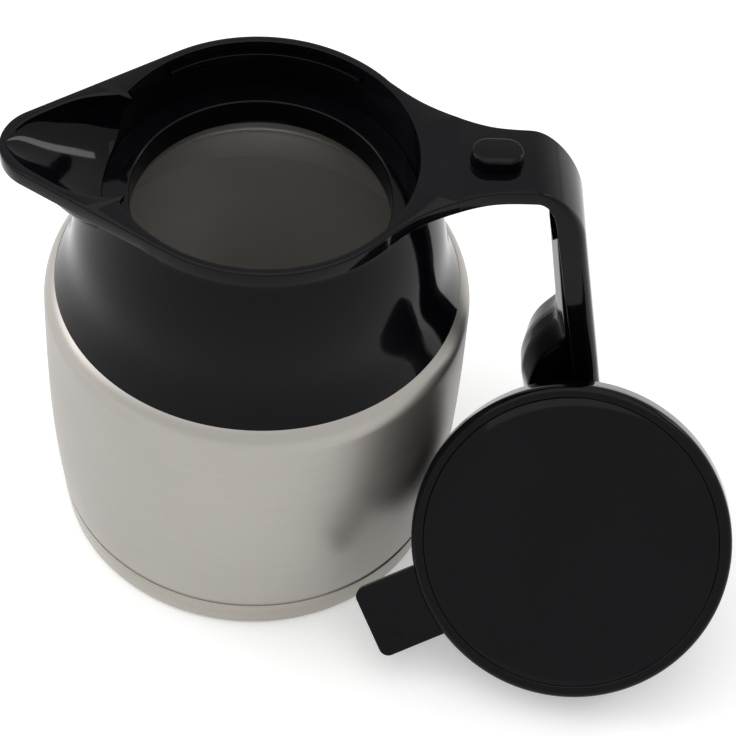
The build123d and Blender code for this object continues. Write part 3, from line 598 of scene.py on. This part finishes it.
channel_table = smooth_curve([
    (channel_start + run * (channel_end - channel_start), half * channel_half_width, depth * ledge_depth,
     squareness)
    for run, half, depth, squareness in channel_ratios], 160)
channel_angles = np.arctan2(channel_table[:, 1], channel_table[:, 0])[::-1]
channel_radii = np.hypot(channel_table[:, 0], channel_table[:, 1])[::-1]
channel_limit = math.asin(channel_half_width / mouth_radius)


def scoop_height(r, phi, grow, top):
    """Height of the channel's floor at a place, or of its underside when grown by the wall."""
    u, v = r * math.cos(phi), abs(r * math.sin(phi))
    along = channel_table[:, 0]
    half, depth, squareness = (float(np.interp(u, along, channel_table[:, k])) for k in (1, 2, 3))
    share = v / (half + grow)
    if share >= 1 or u > channel_end + grow:
        return top
    return min(top, rim_height - (depth + grow) * (1 - share ** squareness) ** (1 / squareness))


def outer_path(phi, reach):
    """Points from the seam up the dome, out under the spout or strap and up the band."""
    def underside(r):
        return scoop_height(r, phi, collar_wall, band_low) if phi < scoop_limit else band_low

    heights = np.array([underside(r) for r in dome[:, 0]])
    above = np.nonzero(dome[:, 1] >= heights - 1e-9)[0]
    stop = above[0] if len(above) else len(dome) - 1
    r_stop = dome[stop, 0]
    t = np.linspace(0, stop, 40)
    up = np.stack([np.interp(t, range(len(dome)), dome[:, 0]), np.interp(t, range(len(dome)), dome[:, 1])], 1)
    b = edge_bevel
    r_out = np.linspace(r_stop, max(reach - b, r_stop), 16)[1:]
    under = [(r, underside(r)) for r in r_out]
    corner = [(reach - b + b * math.sin(a), band_low + b - b * math.cos(a)) for a in (0.5, 1.0, math.pi / 2)]
    if reach - b < r_stop:
        corner = [(reach, band_low + 0.1), (reach, band_low + 0.3), (reach, band_low + b)]
    side = [(reach, rim_height - b)]
    top = [(reach - b + b * math.cos(a), rim_height - b + b * math.sin(a))
           for a in (0.4, 0.8, 1.2, math.pi / 2)]
    return [*up, *under, *corner, *side, *top]


def inner_path(phi):
    """Points from the inner edge of the rim down to the ledge, through the channel in the spout."""
    b = mouth_bevel
    if phi < channel_limit:
        edge = float(np.interp(phi, channel_angles, channel_radii))
        spacing = 1 - np.cos(np.linspace(0, math.pi / 2, 26))
        radii = edge - b - (edge - b - mouth_radius) * spacing
        path = [(edge + b, rim_height), (edge + 0.15 * b, rim_height - 0.15 * b),
                (edge - 0.3 * b, rim_height - 0.6 * b)]
        path += [(r, scoop_height(r, phi, 0, rim_height - b)) for r in radii]
    else:
        blend = ease(min(1.0, (phi - channel_limit) / math.radians(lip_blend)))
        lip = channel_radii[-1] + (rim_lip_radius - channel_radii[-1]) * blend
        low = rim_height - rim_lip_thickness
        path = [(lip + b, rim_height), (lip + 0.15 * b, rim_height - 0.15 * b), (lip, rim_height - b)]
        path += [tuple(q) for q in line((lip, rim_height - b - 0.1), (lip, low), 8)]
        path += [tuple(q) for q in line((lip, low), (mouth_radius, low - 1.0), 19)[1:]]
    start = path[-1][1]
    return path + [(mouth_radius, start + (ledge_height - start) * t) for t in np.linspace(0, 1, 25)[1:]]


def collar_angles():
    """Angles round the collar, closer together at the spout and the strap."""
    degrees = [*np.arange(0, 42, 0.75), *np.arange(42, 138, 1.5), *np.arange(138, 180, 0.4)]
    half = np.radians(degrees)
    return np.concatenate([half, [math.pi], -half[:0:-1]])


def build_collar():
    """Vertices and faces of the collar moulding, one path per angle."""
    columns = []
    inside_dome = [(p[0] - collar_wall, p[1]) for p in dome[::12][::-1] if p[1] < neck_height]
    for theta in collar_angles():
        phi = math.pi - abs(theta)
        reach = max(beak_radius(phi), strap_radius(abs(theta)))
        path = outer_path(phi, reach) + inner_path(phi)
        path += [(mouth_radius, ledge_low), (seat_radius, ledge_low), (seat_radius, neck_height),
                 (inside_dome[0][0], neck_height), *inside_dome]
        columns.append([(r * math.cos(theta), r * math.sin(theta), z) for r, z in path])
    grid = np.array(columns)
    return rings_to_mesh([grid[:, i] for i in range(grid.shape[1])], True)


collar = make_object("collar_and_handle", *build_collar(), gloss_black, "carafe", "collar", "gloss_black",
                     sharp=40.0)


def build_rib(middle):
    """One bayonet rib on the mouth's wall."""
    angles = np.radians(np.linspace(middle - rib_half_angle, middle + rib_half_angle, 60))
    section = rounded([(mouth_radius + 0.4, rib_low), (mouth_radius - rib_depth, rib_low),
                       (mouth_radius - rib_depth, rib_top), (mouth_radius + 0.4, rib_top)], 0.35, 5)
    return capped([np.array([(r * math.cos(a), r * math.sin(a), z) for r, z in section]) for a in angles])


for label, middle in (("back", 90), ("front", 270)):
    make_object("bayonet_rib_" + label, *build_rib(middle), gloss_black, "carafe", "collar", "gloss_black")


# ---- Handle ---------------------------------------------------------------------------------------
grip_inner_top = (92.7, 148.3)
grip_inner_bottom = (105.7, 78.1)
grip_outer_top = (102.9, 141.0)
grip_outer_bottom = (116.0, 66.0)
grip_corner = (95.0, 157.2)
grip_end_back = (112.7, 45.2)
grip_end_front = (103.9, 45.8)
grip_lean = (grip_inner_bottom[0] - grip_inner_top[0]) / (grip_inner_top[1] - grip_inner_bottom[1])
back_lean = (grip_outer_bottom[0] - grip_outer_top[0]) / (grip_outer_top[1] - grip_outer_bottom[1])


def handle_stations():
    """Pairs of (back point, inner point) along the strap, corner and grip, with width and rounding."""
    start = strap_join - strap_overlap
    on_strap, on_corner, on_grip, on_end = 26, 30, 36, 16
    strap_back = line((start, rim_height), (strap_end, rim_height), on_strap)
    strap_under = line((start, band_low), (strap_end, band_low), on_strap)
    corner_back = smooth_curve([strap_back[-1], grip_corner, grip_outer_top], on_corner,
                               (1, 0), (back_lean, -1))
    corner_under = smooth_curve([strap_under[-1], (strap_end + 2, band_low), grip_inner_top], on_corner,
                                (1, 0), (grip_lean, -1))
    grip_back = line(grip_outer_top, grip_outer_bottom, on_grip)
    low_front = 0.37 * np.array(grip_end_front) + 0.63 * np.array(grip_inner_bottom)
    grip_under = np.concatenate([line(grip_inner_top, grip_inner_bottom, on_grip - 6),
                                 line(grip_inner_bottom, low_front, 7)[1:]])
    end_back = smooth_curve([grip_outer_bottom, grip_end_back], on_end, (back_lean, -1), (-0.4, -1))
    end_under = line(low_front, grip_end_front, on_end)
    back = np.concatenate([strap_back, corner_back[1:], grip_back[1:], end_back[1:]])
    under = np.concatenate([strap_under, corner_under[1:], grip_under[1:], end_under[1:]])
    width = np.full(len(back), grip_half_width)
    width[:on_strap] = strap_half_width(strap_under[:, 0])
    blend = np.clip((np.arange(len(back)) - on_strap + 2) / on_corner, 0, 1)
    rounding = edge_bevel + (grip_edge_round - edge_bevel) * ease(blend)
    return back, under, width, rounding


def handle_section(back, under, width, rounding):
    """One rounded cross-section of the handle."""
    depth = float(np.linalg.norm(back - under))
    r = min(rounding, depth * 0.45)
    outline = []
    inner_round = 0.5
    corners = [((-width, 0), inner_round, 180), ((width, 0), inner_round, 270), ((width, depth), r, 0),
               ((-width, depth), r, 90)]
    for (y, h), radius, start in corners:
        cy = y - math.copysign(radius, y)
        ch = h + radius if h == 0 else h - radius
        for a in np.radians(np.linspace(start, start + 90, 8)):
            outline.append((cy + radius * math.cos(a), ch + radius * math.sin(a)))
    across = (back - under) / depth
    return np.array([(under[0] + across[0] * h, y, under[1] + across[1] * h) for y, h in outline])


def build_handle():
    """Vertices and faces of the strap and grip."""
    rings = [handle_section(*station) for station in zip(*handle_stations())]
    last = rings[-1]
    centre = last.mean(0)
    for shrink, drop in ((0.97, 0.5), (0.88, 1.0), (0.6, 1.4)):
        rings.append(centre + (last - centre) * shrink - np.array([0, 0, drop]))
    return capped(rings)


def stadium_outline(length, width, steps=24):
    """Outline with two straight sides and round ends, along X."""
    r = width / 2
    half = length / 2 - r
    quarter = math.pi / 2
    right = [(half + r * math.cos(a), r * math.sin(a)) for a in np.linspace(-quarter, quarter, steps)]
    left = [(-half + r * math.cos(a), r * math.sin(a)) for a in np.linspace(quarter, 1.5 * math.pi, steps)]
    return np.array(right + left)


def build_gusset():
    """Small web under the root of the strap."""
    low = band_low - gusset_drop
    curve = hermite((rim_radius, low), (gusset_end, band_low), (0.3, 1), (1, 0), 14)
    inside = band_low + past_surface
    outline = np.concatenate([curve, [(gusset_end, inside), (gusset_start, inside), (gusset_start, low)]])
    return slab(outline, -gusset_half_width, gusset_half_width, 0.3, 0.3, lambda u, v, w: (u, w, v))


def on_strap(length, width, low, high, low_round=square_rim, high_round=square_rim, steps=2):
    """Block with round ends on the strap, at the button's place."""
    return slab(stadium_outline(length, width), low, high, low_round, high_round,
                lambda u, v, w: (button_centre + u, v, w), steps)


combine(collar, tool_object(*build_handle()), "UNION")
combine(collar, tool_object(*build_gusset()), "UNION")
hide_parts("handle")
play = 2 * button_gap
room = 2 * (button_lip + button_gap)
for hole in (
    (button_length + play, button_width + play, band_low - past_surface, rim_height + past_surface),
    (button_length + room, button_width + room, band_low - past_surface, flange_top + flange_clearance),
    (cover_length, cover_width, band_low - past_surface, cover_top),
):
    combine(collar, tool_object(*on_strap(*hole)), "DIFFERENCE")

cap_top = rim_height + button_rise
button = make_object("button_cap", *on_strap(button_length, button_width, flange_low, cap_top,
                                             0.1, button_edge_round, 6),
                     gloss_black, "button", "button", "gloss_black")
flange = on_strap(button_length + 2 * button_lip, button_width + 2 * button_lip, flange_low, flange_top)
combine(button, tool_object(*flange), "UNION")
hollow = on_strap(button_length - 2 * button_wall, button_width - 2 * button_wall,
                  flange_low - past_surface, cap_top - button_wall)
combine(button, tool_object(*hollow), "DIFFERENCE")


def insert_outline():
    """Side view of the insert, with 1 for each point on the front that the fingers touch."""
    def inside(height, depth=0.0):
        return (grip_inner_top[0] + (grip_inner_top[1] - height) * grip_lean + depth, height)

    wing, top = (98.84, 94.6), (91.3, 142.95)
    neck, tip, throat = (94.6, 86.6), (89.4, 69.0), (91.1, 59.2)
    toe, heel = (98.5, 44.0), (106.05, 45.2)
    behind = 2.0
    crest = line(wing, top, 30)
    back = np.array([inside(142.95, behind), inside(78.1, behind)])
    bottom = smooth_curve([heel, toe], 10, (-0.5, -1), (-1, 0.05))
    nose = smooth_curve([toe, throat, tip], 26, (-1, 0.25), (0, 1))[1:]
    hollow = smooth_curve([tip, neck, wing], 22, (0, 1), (0, 1))[1:-1]
    front = [np.ones(len(crest)), np.zeros(len(back) + len(bottom)), np.ones(len(nose) + len(hollow))]
    return np.concatenate([crest, back, bottom, nose, hollow]), np.concatenate(front)


def build_insert():
    """Inner face of the grip with the hooked finger rest, sloping back from a flat crest to its sides."""
    outline, front = insert_outline()
    rings = []
    edges = insert_half_width - insert_edge_round * np.array([0, 0.15, 0.5, 1])
    half = np.concatenate([edges, np.linspace(edges[-1], insert_crest, 7)[1:], [insert_crest / 2]])
    for w in np.concatenate([-half, half[::-1]]):
        slope = max(0.0, abs(w) - insert_crest) / (insert_half_width - insert_crest)
        past = max(0.0, abs(w) - edges[-1]) / insert_edge_round
        rim = insert_edge_round * (1 - math.sqrt(1 - past * past))
        rings.append([(u, w, v) for u, v in inset_outline(outline, insert_bevel * slope * front + rim)])
    return capped(np.array(rings))


make_object("finger_rest", *build_insert(), gloss_black, "carafe", "handle_insert", "gloss_black")


# ---- Lid ------------------------------------------------------------------------------------------
def lid_frame():
    """Matrix from the lid's own axes (face up, lever along X) to the row frame, from the CAD."""
    joints = {joint["name"]: joint for joint in frame["joints"]}
    up = Vector(joints["valve_lift"]["axis"]).normalized()
    side = Vector(joints["lever_tilt"]["axis"]).normalized()
    along = side.cross(up).normalized()
    points = np.array([v.co for v in frame["nodes"]["lid_top"].data.vertices])
    centre = Vector((0, 0, 0))
    for axis, whole in ((along, False), (side, False), (up, True)):
        reach = points @ np.array(axis)
        centre += axis * float(reach.max() if whole else (reach.max() + reach.min()) / 2)
    return Matrix((along, side, up)).transposed(), centre


lid_turn, lid_centre = lid_frame()


def to_lid(vertices):
    """Points drawn upright in the lid's axes, put in place."""
    turn = np.array(lid_turn)
    return np.array(vertices) @ turn.T + np.array(lid_centre) / MM


def lid_cap_outline():
    """Closed section of the lid's cap: a crisp face with a fine ring, a soft edge and a side wall."""
    r = lid_radius
    e = lid_edge_round
    ring = lid_ring_radius
    edge = [(r - e + e * math.sin(a), -e + e * math.cos(a)) for a in np.linspace(0, math.pi / 2, 12)]
    face = [(axis_radius, 0), (20, 0), (40, 0), (ring - 0.6, 0), (ring - 0.5, -0.06), (ring - 0.25, -0.3),
            (ring, -0.06), (ring + 0.1, 0)]
    inside = [(r - 0.2, -lid_height), (r - lid_wall, -lid_height), (r - lid_wall, -lid_wall),
              (axis_radius, -lid_wall)]
    return np.array(face + edge + [(r, -6), (r, -lid_height + 0.2)] + inside)


vertices, faces = lathe(lid_cap_outline(), 360)
lid_cap = make_object("lid_cap", to_lid(vertices), faces, gloss_black, "lid", "lid_top", "gloss_black")
slot_end = 2 * lid_radius - lever_slot_start
slot_outline = np.array([(lever_slot_start, -lever_slot_half_width), (slot_end, -lever_slot_half_width),
                         (slot_end, lever_slot_half_width), (lever_slot_start, lever_slot_half_width)])
vertices, faces = slab(slot_outline, -lever_slot_low, -lid_wall, square_rim, square_rim,
                       lambda u, v, w: (u, v, w), 2)
combine(lid_cap, tool_object(to_lid(vertices), faces), "DIFFERENCE")


# ---- Springs --------------------------------------------------------------------------------------
def press_together(node):
    """Give a coil spring its own copy of its mesh."""
    spring = frame["nodes"][node]
    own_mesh(spring)


press_together("button_spring")
press_together("valve_spring")


# ---- Stage ----------------------------------------------------------------------------------------
room_light = 0.45
floor_tone = 0.9
floor_lift = 0.35         # what the floor's look gains where it is seen
floor_size = 12
lamp_aim = (0, 0, 0.1)
focal_pixels = 2850.09    # the fitted camera's focal length, in pixels of the picture's width
picture_width = 736


def seen_directly(nodes, links):
    """1 for the camera and for what metal and clear pieces reflect or let through, 0 for diffuse light."""
    path = nodes.new("ShaderNodeLightPath")
    total = path.outputs["Is Camera Ray"]
    for name in ("Is Glossy Ray", "Is Transmission Ray"):
        either = nodes.new("ShaderNodeMath")
        either.operation = "MAXIMUM"
        links.new(total, either.inputs[0])
        links.new(path.outputs[name], either.inputs[1])
        total = either.outputs["Value"]
    return total


def build_floor():
    """Plain pale floor that looks white and keeps the object's soft shadow."""
    bpy.ops.mesh.primitive_plane_add(size=floor_size, location=(0, 0, 0))
    floor = bpy.context.object
    floor.name = "floor"
    material, nodes, links, shader = new_material("floor_white")
    lift = nodes.new("ShaderNodeMath")
    lift.operation = "MULTIPLY"
    links.new(seen_directly(nodes, links), lift.inputs[0])
    lift.inputs[1].default_value = floor_lift
    shader.inputs["Base Color"].default_value = (*[floor_tone] * 3, 1)
    shader.inputs["Emission Color"].default_value = (1, 1, 1, 1)
    links.new(lift.outputs["Value"], shader.inputs["Emission Strength"])
    shader.inputs["Roughness"].default_value = 0.9
    shader.inputs["Specular IOR Level"].default_value = 0.1
    floor.data.materials.append(material)


def build_world():
    """White wherever it is seen, and a plain even light from the room."""
    world = bpy.data.worlds.new("studio")
    bpy.context.scene.world = world
    world.use_nodes = True
    nodes = world.node_tree.nodes
    links = world.node_tree.links
    pick = nodes.new("ShaderNodeMix")
    pick.data_type = "FLOAT"
    links.new(seen_directly(nodes, links), pick.inputs["Factor"])
    pick.inputs["A"].default_value = room_light
    pick.inputs["B"].default_value = 1.0
    background = nodes["Background"]
    background.inputs["Color"].default_value = (1, 1, 1, 1)
    links.new(pick.outputs["Result"], background.inputs["Strength"])


def add_lamp(name, place, aim, size, power):
    """Rectangular softbox that faces a point."""
    data = bpy.data.lights.new(name, "AREA")
    data.shape = "RECTANGLE"
    data.size, data.size_y = size
    data.energy = power
    lamp = bpy.data.objects.new(name, data)
    lamp.location = place
    lamp.rotation_euler = (Vector(aim) - Vector(place)).to_track_quat("-Z", "Y").to_euler()
    bpy.context.scene.collection.objects.link(lamp)


def add_camera():
    """Camera at the photograph's viewing angle."""
    distance, height = 0.62125, 0.79703
    yaw, pitch, roll = 0.0614, 0.8688, 0.0819
    look = Vector((math.sin(yaw) * math.cos(pitch), math.cos(yaw) * math.cos(pitch), -math.sin(pitch)))
    right = look.cross(Vector((0, 0, 1))).normalized()
    up = right.cross(look)
    right_rolled = math.cos(roll) * right + math.sin(roll) * up
    up_rolled = -math.sin(roll) * right + math.cos(roll) * up
    data = bpy.data.cameras.new("camera")
    data.sensor_width = 36
    data.lens = focal_pixels / picture_width * data.sensor_width
    data.clip_end = 50
    camera = bpy.data.objects.new("camera", data)
    turn = Matrix((right_rolled, up_rolled, -look)).transposed().to_4x4()
    camera.matrix_world = Matrix.Translation((0, -distance, height)) @ turn
    bpy.context.scene.collection.objects.link(camera)
    bpy.context.scene.camera = camera


build_floor()
build_world()
add_lamp("overhead_box", (-0.25, -0.05, 1.9), lamp_aim, (2.6, 2.2), 18)
add_lamp("left_box", (-1.5, 0.2, 0.8), lamp_aim, (1.0, 1.3), 9)
add_lamp("right_box", (1.3, 0.7, 1.1), lamp_aim, (0.3, 0.6), 4)
add_camera()

bpy.context.scene.view_settings.view_transform = "Standard"
